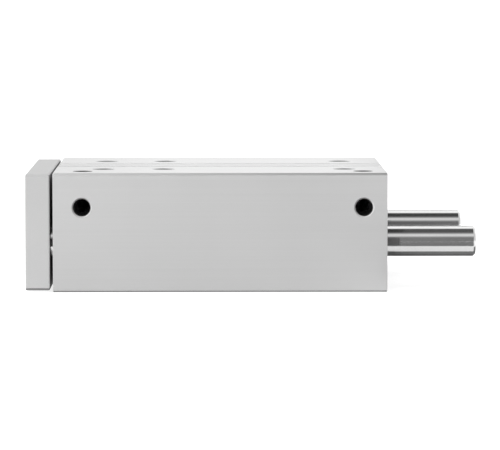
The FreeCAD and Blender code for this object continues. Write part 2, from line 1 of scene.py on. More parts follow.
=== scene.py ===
import json
import math
import bpy
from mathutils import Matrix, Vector


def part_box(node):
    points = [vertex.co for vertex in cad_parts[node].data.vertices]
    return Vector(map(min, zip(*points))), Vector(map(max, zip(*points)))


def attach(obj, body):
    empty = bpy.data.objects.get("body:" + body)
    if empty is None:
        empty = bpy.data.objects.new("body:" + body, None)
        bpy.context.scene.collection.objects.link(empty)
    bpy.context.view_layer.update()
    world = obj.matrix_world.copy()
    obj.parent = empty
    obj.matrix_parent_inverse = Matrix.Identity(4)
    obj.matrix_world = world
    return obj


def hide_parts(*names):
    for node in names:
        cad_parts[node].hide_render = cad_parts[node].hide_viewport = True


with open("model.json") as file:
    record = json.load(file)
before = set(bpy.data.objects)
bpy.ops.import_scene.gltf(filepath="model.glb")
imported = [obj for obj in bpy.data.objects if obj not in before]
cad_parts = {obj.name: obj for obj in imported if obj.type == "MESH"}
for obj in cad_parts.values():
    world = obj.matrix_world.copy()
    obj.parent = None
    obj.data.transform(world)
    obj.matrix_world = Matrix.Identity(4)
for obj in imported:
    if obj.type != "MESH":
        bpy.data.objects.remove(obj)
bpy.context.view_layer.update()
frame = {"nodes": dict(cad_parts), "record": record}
nodes = frame["nodes"]
mm = 0.001
print("frame:", len(nodes), "nodes")


# shader maths: a wire is one output socket, and sums on wires add Math nodes

class Wire:
    def __init__(self, tree, socket=None):
        self.tree = tree
        self.socket = socket

    def make(self, kind, settings=None, inputs=None, out=0):  # any node: settings first, then its sockets
        node = self.tree.nodes.new(kind)
        for key, value in (settings or {}).items():
            setattr(node, key, value)
        for key, value in (inputs or {}).items():
            self.feed(node.inputs[key], value)
        return Wire(self.tree, node.outputs[out])

    def feed(self, socket, value):
        if isinstance(value, Wire):
            self.tree.links.new(value.socket, socket)
        else:
            socket.default_value = value

    def split(self):  # a vector's three values
        node = self.make("ShaderNodeSeparateXYZ", {}, {0: self}).socket.node
        return [Wire(self.tree, socket) for socket in node.outputs]

    def ease(self, start, end):  # smoothly from 0 at the start to 1 at the end
        return self.make("ShaderNodeMapRange", {"interpolation_type": "SMOOTHSTEP"},
                         {0: self, 1: start, 2: end})

    def maths(self, operation, first, second=0.0):
        return self.make("ShaderNodeMath", {"operation": operation}, {0: first, 1: second})

    def __add__(self, other):
        return self.maths("ADD", self, other)

    def __sub__(self, other):
        return self.maths("SUBTRACT", self, other)

    def __rsub__(self, other):
        return self.maths("SUBTRACT", other, self)

    def __mul__(self, other):
        return self.maths("MULTIPLY", self, other)

    def __truediv__(self, other):
        return self.maths("DIVIDE", self, other)

    def __pow__(self, other):
        return self.maths("POWER", self, other)

    def __abs__(self):
        return self.maths("ABSOLUTE", self)

    def __gt__(self, other):
        return self.maths("GREATER_THAN", self, other)

    def __lt__(self, other):
        return self.maths("LESS_THAN", self, other)

    __radd__ = __add__
    __rmul__ = __mul__


class Finish:
    def __init__(self, name, **constants):  # constants stay on the shader's own sockets
        self.material = bpy.data.materials.new(name)
        self.material.use_nodes = True
        tree = self.material.node_tree
        self.shader = tree.nodes["Principled BSDF"]
        self.wire = Wire(tree)
        for key, value in constants.items():
            self.shader.inputs[key.replace("_", " ")].default_value = value

    def place(self, scale=(1, 1, 1)):  # object coordinates, stretched
        spot = self.wire.make("ShaderNodeTexCoord", out="Object")
        return self.wire.make("ShaderNodeMapping", {}, {"Vector": spot, "Scale": scale})

    def spot(self):  # x, y and z of a point of the piece
        return self.place().split()

    def facing(self):  # how far the face looks along x, y and z, -1 to 1
        return self.wire.make("ShaderNodeNewGeometry", out="Normal").split()

    def noise(self, vector, scale=1.0, detail=2.0, rough=0.5):  # 0 to 1
        return self.wire.make("ShaderNodeTexNoise", {"noise_dimensions": "3D"},
                              {"Vector": vector, "Scale": scale, "Detail": detail, "Roughness": rough})

    def mix(self, mask, low, high):
        return (high - low) * mask + low

    def mixColour(self, mask, low, high):  # sockets 6, 7 and 2 are the Mix node's colours
        return self.wire.make("ShaderNodeMix", {"data_type": "RGBA"}, {0: mask, 6: low, 7: high}, out=2)

    def tint(self, mask, tone):  # a factor: the tone inside the mask and 1 outside it
        return self.mix(mask, 1.0, tone)

    def vary(self, middle, spread, pattern):  # more and less than the middle with a 0 to 1 pattern
        return middle + spread * (pattern - 0.5)

    def connect(self, colour, roughness=None, bump=None, depth=0.0):
        self.wire.feed(self.shader.inputs["Base Color"], colour)
        if roughness is not None:
            self.wire.feed(self.shader.inputs["Roughness"], roughness)
        if bump is not None:
            relief = self.wire.make("ShaderNodeBump", {},
                                    {"Strength": 1.0, "Distance": depth, "Height": bump})
            self.wire.feed(self.shader.inputs["Normal"], relief)
        return self.material


def grey(tone, warm=0.0):
    return (tone * (1 + warm), tone, tone * (1 - warm), 1.0)


# places that the finishes and the threads follow
portHole = {"stations": (-90.35 * mm, 94.05 * mm), "height": 55.425 * mm, "topRow": -62.0 * mm,
            "core": 5.725 * mm, "mouth": 6.7 * mm, "depth": 16.0 * mm}
sensorSlot = {"row": 14.0 * mm, "pocket": 3.8 * mm, "lip": 1.9 * mm, "depth": 5.7 * mm}
longEdge = 1.7 * mm  # reach of the chamfers along the block and the plate
skin = 0.05 * mm  # a point deeper than this is inside a hole or slot
# how far a face looks along an axis, at least
straight = 0.9  # a face square to it
mainly = 0.7  # a face within 45 degrees of that
aslant = 0.45  # a chamfer, along both of its axes


def rodPlace(node):  # front end on the axis, radius and length of a rod
    low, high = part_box(node)
    middle = [(a + b) / 2 for a, b in zip(low, high)]
    return Vector((low[0], middle[1], middle[2])), (high[2] - low[2]) / 2, high[0] - low[0]


# the housing's finish: painted light and shade for each kind of place, over drawn and milled marks

def paintedEdgeShading(coat, low, high):  # polished upper chamfers with a painted highlight, lighter at the left end and darker at the right, and painted shade on the lower ones
    look = {"left": 1.48, "right": 0.82, "foot": 1.05, "polishedAndPaintedSheen": 1.15 * mm, "lower": 0.38}
    x, y, z = coat.spot()
    endwards, sidewards, upwards = coat.facing()
    halfway = high[2] / 2
    onEdge = (abs(y) > high[1] - longEdge) * (abs(z - halfway) > halfway - longEdge)
    slanted = (abs(sidewards) > aslant) * (abs(upwards) > aslant) * onEdge
    upper = slanted * (upwards > 0)
    # painted highlight along the upper chamfers, lighter at the left and darker at the right, with a lighter
    # foot below the top band
    rightTone = coat.mix(z > high[2] - look["polishedAndPaintedSheen"], look["foot"], look["right"])
    upperTone = coat.mix((x - low[0]) / (high[0] - low[0]), look["left"], rightTone)
    shade = coat.tint(upper, upperTone) * coat.tint(slanted * (upwards < 0), look["lower"])
    return shade, upper


def paintedFaceShading(coat, low, high):  # painted light and shade: a lighter top, darker towards the foot, lighter ends on the near side and darker ends on the top
    look = {"top": 1.14, "foot": 0.90}
    sideEnds = ((1.045, 0.45, 0.0), (1.24, 0.7, 1.3))  # tone, and where along the block it starts and is full
    topEnds = ((0.89, 0.4, 0.0), (0.92, 0.85, 1.0))
    x, y, z = coat.spot()
    endwards, sidewards, upwards = coat.facing()
    onTop = z > high[2] - skin
    nearSide = sidewards < -straight
    fromLeft = (x - low[0]) / (high[0] - low[0])
    shade = coat.tint(onTop, look["top"]) * coat.mix(z / high[2], look["foot"], 1.0)
    for face, ends in ((nearSide, sideEnds), (onTop, topEnds)):
        for tone, start, full in ends:
            shade = shade * coat.tint(face * fromLeft.ease(start, full), tone)
    return shade


def slotTones(coat, high):  # painted shade deep in the sensor slots with a painted highlight on their walls at the opening, and a darker strip between them
    look = {"deep": 0.35, "lip": 1.85, "strip": 0.90}
    x, y, z = coat.spot()
    endwards, sidewards, upwards = coat.facing()
    onTop = z > high[2] - skin
    onEnd = abs(endwards) > mainly
    pocket = abs(abs(y) - sensorSlot["row"]) < sensorSlot["pocket"]
    inSlot = pocket * (z > high[2] - sensorSlot["depth"]) * (1 - onTop) * (1 - onEnd)
    # painted shade below the lip, painted highlight on the lip's walls
    slotTone = coat.mix(z > high[2] - sensorSlot["lip"], look["deep"], look["lip"])
    onStrip = onTop * (abs(y) < sensorSlot["row"])
    return coat.tint(inSlot, slotTone) * coat.tint(onStrip, look["strip"])


def paintedPortShading(coat, low, high):  # painted shade: near-black ports and dark seats round the plugs, and painted light and shade on the port mouths, lighter where they face up and to the left
    look = {"inside": 0.12, "plugSeat": 0.2, "mouthDark": 0.55, "mouthLight": 1.4, "mouthTurn": (-0.8, 0.9)}
    x, y, z = coat.spot()
    endwards, sidewards, upwards = coat.facing()
    left, right = portHole["stations"]
    portX = abs(x - (left + right) / 2) - (right - left) / 2
    portZ = z - portHole["height"]
    plugY = y - portHole["topRow"]
    fromPort = (portX * portX + portZ * portZ) ** 0.5
    fromPlug = (portX * portX + plugY * plugY) ** 0.5
    behindSide = y < low[1] + portHole["depth"]
    belowTop = (z > high[2] - portHole["depth"]) * (z < high[2] - skin)
    inPort = (fromPort < portHole["core"] + skin) * behindSide
    inMouth = (fromPort < portHole["mouth"]) * behindSide * (y > low[1] + skin)  # the cone and all behind it
    inPlug = (fromPlug < portHole["mouth"]) * belowTop
    # painted light on the mouth's cone where it faces up and to the left, painted shade where it faces down
    # and to the right
    mouthTone = coat.mix((upwards - endwards).ease(*look["mouthTurn"]), look["mouthDark"], look["mouthLight"])
    shade = coat.tint(inPort, look["inside"]) * coat.tint(inMouth, mouthTone)
    return shade * coat.tint(inPlug, look["plugSeat"]), inMouth


def anodisedExtrusion():
    look = {"dark": 0.480, "light": 0.552, "metal": 0.62, "rough": 0.40, "roughSpread": 0.10,
            "cutRough": 0.33, "mouthRough": 0.45, "lineDepth": 0.000012}
    grain = {"fine": (5, 1500, 1500), "broad": (1.5, 160, 160), "broadShare": 0.4, "milled": (900, 2200, 40),
             "cloud": 34.0, "cloudShare": 0.3}
    low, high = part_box("housing")
    coat = Finish("anodisedExtrusion", Metallic=look["metal"])
    endwards, sidewards, upwards = coat.facing()
    fine = coat.noise(coat.place(grain["fine"]))  # drawn lines along the profile
    broad = coat.noise(coat.place(grain["broad"]), detail=1.0)
    milled = coat.noise(coat.place(grain["milled"]))  # the end faces
    cloud = coat.noise(coat.place(), grain["cloud"])
    drawn = coat.mix(grain["broadShare"], fine, broad)
    lines = coat.mix(abs(endwards) > mainly, drawn, milled)
    tone = coat.mix(grain["cloudShare"], lines, cloud)
    edgeShade, polishedAndPaintedSheen = paintedEdgeShading(coat, low, high)
    portShade, inMouth = paintedPortShading(coat, low, high)
    # painted light and shade from the chamfers, ports, faces and slots, over the own tone of the drawn and
    # milled marks
    shade = edgeShade * portShade * paintedFaceShading(coat, low, high) * slotTones(coat, high)
    roughness = coat.mix(polishedAndPaintedSheen, look["rough"], look["cutRough"])
    roughness = coat.vary(coat.mix(inMouth, roughness, look["mouthRough"]), look["roughSpread"], tone)
    colour = coat.mix(tone, look["dark"], look["light"]) * shade
    return coat.connect(colour, roughness, lines, look["lineDepth"])


def milledPlate():
    look = {"dark": 0.482, "light": 0.552, "metal": 0.55, "rough": 0.60, "roughSpread": 0.10,
            "lineDepth": 0.00001, "lowerCut": 0.4, "upperCut": 1.06, "top": 0.86, "back": 0.6}
    grain = {"edges": (1400, 30, 1400), "faces": (500, 1300, 26), "cloud": 40.0, "cloudShare": 0.4}
    low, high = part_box("yoke_plate")
    coat = Finish("milledPlate", Metallic=look["metal"])
    x, y, z = coat.spot()
    endwards, sidewards, upwards = coat.facing()
    edgeMarks = coat.noise(coat.place(grain["edges"]))
    faceMarks = coat.noise(coat.place(grain["faces"]))
    cloud = coat.noise(coat.place(), grain["cloud"])
    lines = coat.mix(abs(endwards) > mainly, edgeMarks, faceMarks)
    tone = coat.mix(grain["cloudShare"], lines, cloud)
    # painted shade on the lower chamfers and on the top, a painted highlight on the upper chamfers, and
    # painted shade on the back face that looks into the gap
    lowerCut = (upwards < -aslant) * (upwards > -straight) * (z < low[2] + longEdge)
    upperCut = (upwards > aslant) * (abs(sidewards) > aslant) * (abs(y) > high[1] - longEdge)
    shade = coat.tint(lowerCut, look["lowerCut"]) * coat.tint(upperCut, look["upperCut"])
    shade = shade * coat.tint(upwards > straight, look["top"]) * coat.tint(endwards > mainly, look["back"])
    colour = coat.mix(tone, look["dark"], look["light"]) * shade
    return coat.connect(colour, coat.vary(look["rough"], look["roughSpread"], tone), lines, look["lineDepth"])


def groundSteel():
    look = {"dark": 0.56, "light": 0.66, "metal": 0.985, "rough": 0.13, "roughSpread": 0.06,
            "lineDepth": 0.0000015}
    grain = {"rings": (3800, 30, 30), "cloud": 60.0, "cloudShare": 0.5}
    coat = Finish("groundSteel", Metallic=look["metal"])
    rings = coat.noise(coat.place(grain["rings"]))  # grinding marks round the rod
    cloud = coat.noise(coat.place(), grain["cloud"], detail=3.0)
    tone = coat.mix(grain["cloudShare"], rings, cloud)
    colour = coat.mixColour(tone, grey(look["dark"]), grey(look["light"]))
    roughness = coat.vary(look["rough"], look["roughSpread"], rings)
    return coat.connect(colour, roughness, rings, look["lineDepth"])


def plainFinish(name, dark, light, rough, metal, grain, depth, warm=0.0):
    pattern = {"cloudSize": 14, "cloudShare": 0.5, "roughSpread": 0.12}
    coat = Finish(name, Metallic=metal)
    fine = coat.noise(coat.place(), grain, detail=3.0, rough=0.6)
    cloud = coat.noise(coat.place(), grain / pattern["cloudSize"])
    tone = coat.mix(pattern["cloudShare"], fine, cloud)
    colour = coat.mixColour(tone, grey(dark, warm), grey(light, warm))
    return coat.connect(colour, coat.vary(rough, pattern["roughSpread"], cloud), fine, depth)


def turnedFinish(name, dark, light, rough, metal, depth):  # rings about the nearest rod's axis
    pattern = {"rings": 1500.0, "cloud": 70.0, "cloudShare": 0.4, "roughSpread": 0.14}
    guide = rodPlace("guide_rod_right")[0]
    piston = rodPlace("piston_rod")[0]
    coat = Finish(name, Metallic=metal)
    x, y, z = coat.spot()
    onGuide = abs(y) > guide.y / 2
    across = abs(y) - guide.y * onGuide
    up = z - piston.z + (piston.z - guide.z) * onGuide
    rings = coat.noise((across * across + up * up) ** 0.5, pattern["rings"], detail=3.0, rough=0.6)
    cloud = coat.noise(coat.place(), pattern["cloud"])
    tone = coat.mix(pattern["cloudShare"], rings, cloud)
    colour = coat.mixColour(tone, grey(dark), grey(light))
    return coat.connect(colour, coat.vary(rough, pattern["roughSpread"], rings), rings, depth)


finishes = {
    "housing_aluminium": anodisedExtrusion(),
    "plate_aluminium": milledPlate(),
    "cap_aluminium": turnedFinish("turnedCap", dark=0.52, light=0.66, rough=0.36, metal=0.7, depth=0.00001),
    "piston_aluminium": turnedFinish("turnedPiston", dark=0.57, light=0.70, rough=0.34, metal=0.8,
                                     depth=0.00001),
    "ground_steel": groundSteel(),
    "bearing_bronze": plainFinish("sinteredBronze", dark=0.33, light=0.42, rough=0.38, metal=1.0, grain=2600,
                                  depth=0.00001, warm=0.42),
    "spring_steel": plainFinish("phosphatedSpring", dark=0.11, light=0.17, rough=0.42, metal=0.85, grain=2200,
                                depth=0.000006),
    "screw_steel": turnedFinish("zincScrew", dark=0.40, light=0.56, rough=0.30, metal=1.0, depth=0.000008),
    "magnet_plastic": plainFinish("bondedMagnet", dark=0.06, light=0.10, rough=0.55, metal=0.1, grain=1800,
                                  depth=0.00001),
    "bearing_plastic": plainFinish("bearingPlastic", dark=0.56, light=0.66, rough=0.46, metal=0.0, grain=1200,
                                   depth=0.000006, warm=0.06),
    "seal_rubber": plainFinish("sealRubber", dark=0.018, light=0.035, rough=0.52, metal=0.0, grain=2400,
                               depth=0.000012),
    # dark steel for the port plugs
    "dark_plug": plainFinish("darkPlugSteel", dark=0.07, light=0.12, rough=0.40, metal=0.9, grain=1700,
                             depth=0.000006),
    # painted shade: near-black threads stand in for the darkness deep in the side ports
    "dark_port": plainFinish("paintedShadePortThread", dark=0.02, light=0.04, rough=0.45, metal=0.3, grain=1500,
                             depth=0.000004),
    "thread_aluminium": plainFinish("tappedThread", dark=0.30, light=0.42, rough=0.36, metal=0.8, grain=1500,
                                    depth=0.000004),
}
for part in frame["record"]["subparts"]:
    node = nodes[part["node"]]
    node.data.materials.clear()
    node.data.materials.append(finishes[part["material_slot"]])
print("finishes:", len(finishes))


# modelling helpers

closeness = {"weld": 0.002 * mm, "socketWeld": 0.02 * mm, "threadWeld": 0.001 * mm,  # points that merge
             "flush": 0.005 * mm, "wall": 0.03 * mm}  # points that lie in an outside face or a hole's wall


def makeActive(piece):
    bpy.ops.object.select_all(action="DESELECT")
    piece.select_set(True)
    bpy.context.view_layer.objects.active = piece


def editMode(piece):  # with all of it selected
    makeActive(piece)
    bpy.ops.object.mode_set(mode="EDIT")
    bpy.ops.mesh.select_all(action="SELECT")


def objectMode():
    bpy.ops.object.mode_set(mode="OBJECT")


def applyModifier(piece, kind, **settings):
    makeActive(piece)
    modifier = piece.modifiers.new(kind.lower(), kind)
    for key, value in settings.items():
        setattr(modifier, key, value)
    bpy.ops.object.modifier_apply(modifier=modifier.name)


def drawLine(name, points):  # a chain of edges through (distance along X, radius) points
    bpy.ops.object.select_all(action="DESELECT")
    bpy.ops.mesh.primitive_plane_add(size=mm)
    piece = bpy.context.object
    piece.name = name
    editMode(piece)
    bpy.ops.mesh.merge(type="CENTER")
    bpy.ops.transform.translate(value=(points[0][0], 0, points[0][1]))
    for before, after in zip(points, points[1:]):
        step = (after[0] - before[0], 0, after[1] - before[1])
        bpy.ops.mesh.extrude_region_move(TRANSFORM_OT_translate={"value": step})
    objectMode()
    return piece


def turnPiece(name, points, steps=96):  # a lathed piece about X
    piece = drawLine(name, points)
    editMode(piece)
    bpy.ops.mesh.spin(steps=steps, angle=2 * math.pi, center=(0, 0, 0), axis=(1, 0, 0))
    bpy.ops.mesh.select_all(action="SELECT")
    bpy.ops.mesh.remove_doubles(threshold=closeness["weld"])
    bpy.ops.mesh.normals_make_consistent(inside=False)
    objectMode()
    return piece


def placePiece(piece, place, towards=(1, 0, 0)):  # its X axis turned towards a direction
    makeActive(piece)
    piece.rotation_euler = Vector(towards).to_track_quat("X", "Z").to_euler()
    piece.location = place
    bpy.ops.object.transform_apply(location=True, rotation=True, scale=True)


def copyTo(piece, places, towards):  # one copy at each place, joined into one piece
    name = piece.name
    piece.name = name + "Model"
    copies = []
    for place in places:
        copy = bpy.data.objects.new(name, piece.data.copy())
        bpy.context.scene.collection.objects.link(copy)
        placePiece(copy, place, towards)
        copies.append(copy)
    bpy.data.objects.remove(piece)
    makeActive(copies[0])
    for copy in copies:
        copy.select_set(True)
    bpy.ops.object.join()
    copies[0].name = name
    return copies[0]


def smoothPiece(piece, angle=32.0):
    makeActive(piece)
    bpy.ops.object.shade_smooth_by_angle(angle=math.radians(angle))
    applyModifier(piece, "WEIGHTED_NORMAL", mode="FACE_AREA", weight=80, keep_sharp=True)


def softenEdges(piece, width, angle=32.0):
    applyModifier(piece, "BEVEL", width=width, segments=2, limit_method="ANGLE",
                  angle_limit=math.radians(angle), use_clamp_overlap=False)
    smoothPiece(piece, angle)


def cutSocket(piece, socket):  # hexagon with a drilled point, sunk into the end at X = 0
    corner = socket["flats"] / math.sqrt(3)
    bottom = socket["depth"]
    clear = -1.0 * mm  # the cutter starts outside the piece
    outline = [(clear, 0), (clear, corner), (bottom, corner), (bottom + socket["point"], 0)]
    cutter = turnPiece("cutter", outline, steps=6)
    applyModifier(piece, "BOOLEAN", operation="DIFFERENCE", solver="EXACT", object=cutter)
    bpy.data.objects.remove(cutter)
    editMode(piece)
    bpy.ops.mesh.remove_doubles(threshold=closeness["socketWeld"])
    objectMode()


def copyNode(node, name, flat=0.2):  # a merged copy of a CAD mesh, with flat faces in one piece
    piece = bpy.data.objects.new(name, nodes[node].data.copy())
    bpy.context.scene.collection.objects.link(piece)
    makeActive(piece)
    bpy.ops.mesh.customdata_custom_splitnormals_clear()
    editMode(piece)
    bpy.ops.mesh.remove_doubles(threshold=closeness["weld"])
    bpy.ops.mesh.dissolve_limited(angle_limit=math.radians(flat))
    objectMode()
    return piece


def softenOuterEdges(piece, width, sharp=25.0):  # only edges that lie in the planes of its outside faces
    planes = []
    for axis in range(3):
        levels = [corner[axis] for corner in piece.bound_box]
        planes += [(axis, min(levels)), (axis, max(levels))]
    editMode(piece)
    bpy.context.tool_settings.mesh_select_mode = (False, True, False)
    bpy.ops.mesh.select_all(action="DESELECT")
    bpy.ops.mesh.edges_select_sharp(sharpness=math.radians(sharp))
    objectMode()
    mesh = piece.data
    weights = mesh.attributes.new("bevel_weight_edge", "FLOAT", "EDGE")
    for edge in mesh.edges:
        ends = [mesh.vertices[i].co for i in edge.vertices]
        offsets = [max(abs(end[axis] - level) for end in ends) for axis, level in planes]
        weights.data[edge.index].value = float(edge.select and min(offsets) < closeness["flush"])
    applyModifier(piece, "BEVEL", width=width, segments=2, limit_method="WEIGHT", use_clamp_overlap=False)
    smoothPiece(piece, sharp)


def wallDepth(spot, mouth, inwards, radius):  # depth of a point of a hole's wall, or None away from it
    offset = spot - Vector(mouth)
    depth = offset.dot(inwards)
    across = (offset - inwards * depth).length
    return depth if abs(across - radius) < closeness["wall"] else None


def selectWall(piece, mouth, inwards, radius, low, high):
    makeActive(piece)
    bpy.context.tool_settings.mesh_select_mode = (True, False, False)
    bpy.ops.object.mode_set(mode="EDIT")
    bpy.ops.mesh.select_all(action="DESELECT")
    objectMode()
    for vertex in piece.data.vertices:
        depth = wallDepth(vertex.co, mouth, inwards, radius)
        vertex.select = depth is not None and low < depth < high
    bpy.ops.object.mode_set(mode="EDIT")


def widenWall(piece, thread, mouth, inwards):  # room for the thread behind a short plain land
    fit = {"ramp": 0.2 * mm, "gap": 0.05 * mm, "beyond": 100.0 * mm}  # the last reaches past any hole's end
    inwards = Vector(inwards)
    core = thread["core"]
    start = thread["start"]
    end = thread["end"]
    for depth in (start - fit["ramp"], start, end, end + fit["ramp"]):
        selectWall(piece, mouth, inwards, core, 0, end + fit["beyond"])
        bpy.ops.mesh.bisect(plane_co=Vector(mouth) + inwards * depth, plane_no=inwards)
        objectMode()
    selectWall(piece, mouth, inwards, core, start - fit["ramp"] / 2, end + fit["ramp"] / 2)
    grow = (thread["outside"] + thread["wall"] + fit["gap"]) / core
    size = [1.0 if abs(inwards[axis]) > 0.5 else grow for axis in range(3)]
    bpy.ops.transform.resize(value=size, center_override=mouth)
    objectMode()


def makeThreads(name, thread, mouths, inwards):  # helical ridges from one pitch of the thread's outline
    pitch = thread["pitch"]
    outline = [(0, "outside"), (1 / 8, "outside"), (7 / 16, "core"), (11 / 16, "core"), (1, "outside")]
    piece = drawLine(name, [(share * pitch, thread[edge]) for share, edge in outline])
    length = thread["end"] - thread["start"]
    applyModifier(piece, "SCREW", axis="X", screw_offset=pitch, iterations=math.ceil(length / pitch) + 2,
                  steps=thread["steps"], render_steps=thread["steps"], use_merge_vertices=True,
                  merge_threshold=closeness["threadWeld"])
    for station, keepFar in ((pitch, True), (pitch + length, False)):
        editMode(piece)
        bpy.ops.mesh.bisect(plane_co=(station, 0, 0), plane_no=(1, 0, 0), clear_inner=keepFar,
                            clear_outer=not keepFar)
        objectMode()
    editMode(piece)
    bpy.ops.mesh.remove_doubles(threshold=closeness["threadWeld"])
    bpy.ops.mesh.normals_make_consistent(inside=False)
    objectMode()
    side = piece.data.polygons[0]
    if side.normal.dot(Vector((0, side.center.y, side.center.z))) > 0:  # the ridges face the axis
        editMode(piece)
        bpy.ops.mesh.flip_normals()
        objectMode()
    applyModifier(piece, "SOLIDIFY", thickness=thread["wall"], offset=-1.0)
    placePiece(piece, (thread["start"] - pitch, 0, 0))
    piece = copyTo(piece, mouths, inwards)
    smoothPiece(piece, angle=35.0)
    return piece


def keepPiece(piece, body, slotName, *stands, finish=None):
    piece.data.materials.clear()
    piece.data.materials.append(finishes[finish or slotName])
    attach(piece, body)
    if stands:
        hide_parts(*stands)
    print("piece:", piece.name, len(piece.data.polygons), "faces")


# rods

guideRod = {"endChamfer": 1.5 * mm, "seatChamfer": 0.5 * mm, "soften": 0.15 * mm}
pistonRod = {"seatChamfer": 0.5 * mm, "spigot": 7.0 * mm, "soften": 0.15 * mm}


def makeGuideRod(name, node):
    front, radius, length = rodPlace(node)
    seat = guideRod["seatChamfer"]
    end = guideRod["endChamfer"]
    rod = turnPiece(name, [(0, 0), (0, radius - seat), (seat, radius), (length - end, radius),
                           (length, radius - end), (length, 0)])
    softenEdges(rod, guideRod["soften"])
    placePiece(rod, front)
    keepPiece(rod, "yoke_unit", "ground_steel", node)


def makePistonRod():
    front, radius, length = rodPlace("piston_rod")
    seat = pistonRod["seatChamfer"]
    spigot = pistonRod["spigot"]
    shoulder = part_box("piston_front")[0][0] - front.x
    rod = turnPiece("pistonRod", [(0, 0), (0, radius - seat), (seat, radius), (shoulder, radius),
                                  (shoulder, spigot), (length, spigot), (length, 0)])
    softenEdges(rod, pistonRod["soften"])
    placePiece(rod, front)
    keepPiece(rod, "yoke_unit", "ground_steel", "piston_rod")


makeGuideRod("guideRodNear", "guide_rod_left")
makeGuideRod("guideRodFar", "guide_rod_right")
makePistonRod()
rodAxes = [rodPlace(node)[0] for node in ("guide_rod_left", "piston_rod", "guide_rod_right")]
print("rods: done")


# screws, plugs and rings

yokeScrew = {"head": 9.0 * mm, "height": 7.0 * mm, "shank": 6.0 * mm, "length": 30.0 * mm,
             "chamfer": 0.7 * mm, "soften": 0.15 * mm,
             "socket": {"flats": 8.0 * mm, "depth": 3.8 * mm, "point": 1.2 * mm}}
portPlug = {"chamfer": 0.6 * mm, "soften": 0.12 * mm,
            "socket": {"flats": 6.0 * mm, "depth": 4.5 * mm, "point": 1.0 * mm}}
ringEdge = {"retaining": 0.2 * mm, "snap": 0.15 * mm, "cap": 0.15 * mm}


def makeYokeScrews():
    head = yokeScrew["head"]
    height = yokeScrew["height"]
    shank = yokeScrew["shank"]
    length = yokeScrew["length"]
    chamfer = yokeScrew["chamfer"]
    screw = turnPiece("yokeScrews", [(0, 0), (0, head - chamfer), (chamfer, head), (height, head),
                                     (height, shank), (length, shank), (length, 0)])
    cutSocket(screw, yokeScrew["socket"])
    softenEdges(screw, yokeScrew["soften"])
    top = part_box("yoke_screws")[0][0]
    screws = copyTo(screw, [(top, axis.y, axis.z) for axis in rodAxes], (1, 0, 0))
    keepPiece(screws, "yoke_unit", "screw_steel", "yoke_screws")


def makePortPlugs():
    low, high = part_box("port_plugs")
    radius = (high[1] - low[1]) / 2
    length = high[2] - low[2]
    chamfer = portPlug["chamfer"]
    plug = turnPiece("portPlugs", [(0, 0), (0, radius - chamfer), (chamfer, radius), (length, radius),
                                   (length, 0)])
    cutSocket(plug, portPlug["socket"])
    softenEdges(plug, portPlug["soften"])
    places = [(x, low[1] + radius, high[2]) for x in (low[0] + radius, high[0] - radius)]
    plugs = copyTo(plug, places, (0, 0, -1))
    keepPiece(plugs, "housing_unit", "screw_steel", "port_plugs", finish="dark_plug")


def softenedNode(name, node, slotName, width):
    piece = copyNode(node, name)
    softenEdges(piece, width)
    keepPiece(piece, "housing_unit", slotName, node)


makeYokeScrews()
makePortPlugs()
softenedNode("bearingCap", "bearing_cap", "cap_aluminium", ringEdge["cap"])
softenedNode("endCap", "end_cap", "cap_aluminium", ringEdge["cap"])
softenedNode("frontRetainingRing", "front_retaining_ring", "spring_steel", ringEdge["retaining"])
softenedNode("rearRetainingRing", "rear_retaining_ring", "spring_steel", ringEdge["retaining"])
softenedNode("guideSnapRings", "guide_snap_rings", "spring_steel", ringEdge["snap"])
print("screws, plugs and rings: done")


# housing and yoke plate, with real threads behind the mouths of their holes

portThread = {"core": portHole["core"], "outside": 6.58 * mm, "pitch": 1.337 * mm, "start": 1.3 * mm,
              "end": 13.4 * mm, "wall": 0.2 * mm, "steps": 48}
screwThread = {"core": 4.25 * mm, "outside": 5.0 * mm, "pitch": 1.5 * mm, "start": 1.3 * mm, "wall": 0.2 * mm,
               "steps": 40}
baseThread = dict(screwThread, end=24.0 * mm)
rearThread = dict(screwThread, end=15.4 * mm)
plateThread = dict(screwThread, end=15.4 * mm)
holeRows = (-40.0 * mm, 40.0 * mm)
baseStations = (-77.35 * mm, -37.35 * mm, 82.65 * mm)
rearHeights = (12.0 * mm, 66.0 * mm)
plateHeights = (17.0 * mm, 61.0 * mm)
blockEdge = 0.16 * mm


def makeHousing():
    low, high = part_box("housing")
    housing = copyNode("housing", "housingBody")
    ports = [(x, low[1], portHole["height"]) for x in portHole["stations"]]
    base = [(x, y, low[2]) for x in baseStations for y in holeRows]
    rear = [(high[0], y, z) for y in holeRows for z in rearHeights]
    groups = [("portThreads", portThread, ports, (0, 1, 0), "dark_port"),
              ("baseThreads", baseThread, base, (0, 0, 1), "thread_aluminium"),
              ("rearThreads", rearThread, rear, (-1, 0, 0), "thread_aluminium")]
    for name, thread, mouths, inwards, finish in groups:
        for mouth in mouths:
            widenWall(housing, thread, mouth, inwards)
        threads = makeThreads(name, thread, mouths, inwards)
        keepPiece(threads, "housing_unit", "housing_aluminium", finish=finish)
    softenOuterEdges(housing, blockEdge)
    keepPiece(housing, "housing_unit", "housing_aluminium", "housing")


def makeYokePlate():
    low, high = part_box("yoke_plate")
    plate = copyNode("yoke_plate", "yokePlate")
    mouths = [(low[0], y, z) for y in holeRows for z in plateHeights]
    for mouth in mouths:
        widenWall(plate, plateThread, mouth, (1, 0, 0))
    threads = makeThreads("plateThreads", plateThread, mouths, (1, 0, 0))
    keepPiece(threads, "yoke_unit", "plate_aluminium", finish="thread_aluminium")
    softenOuterEdges(plate, blockEdge)
    keepPiece(plate, "yoke_unit", "plate_aluminium", "yoke_plate")


makeHousing()
makeYokePlate()
print("housing and plate: done")


# floor, reflections, light and camera

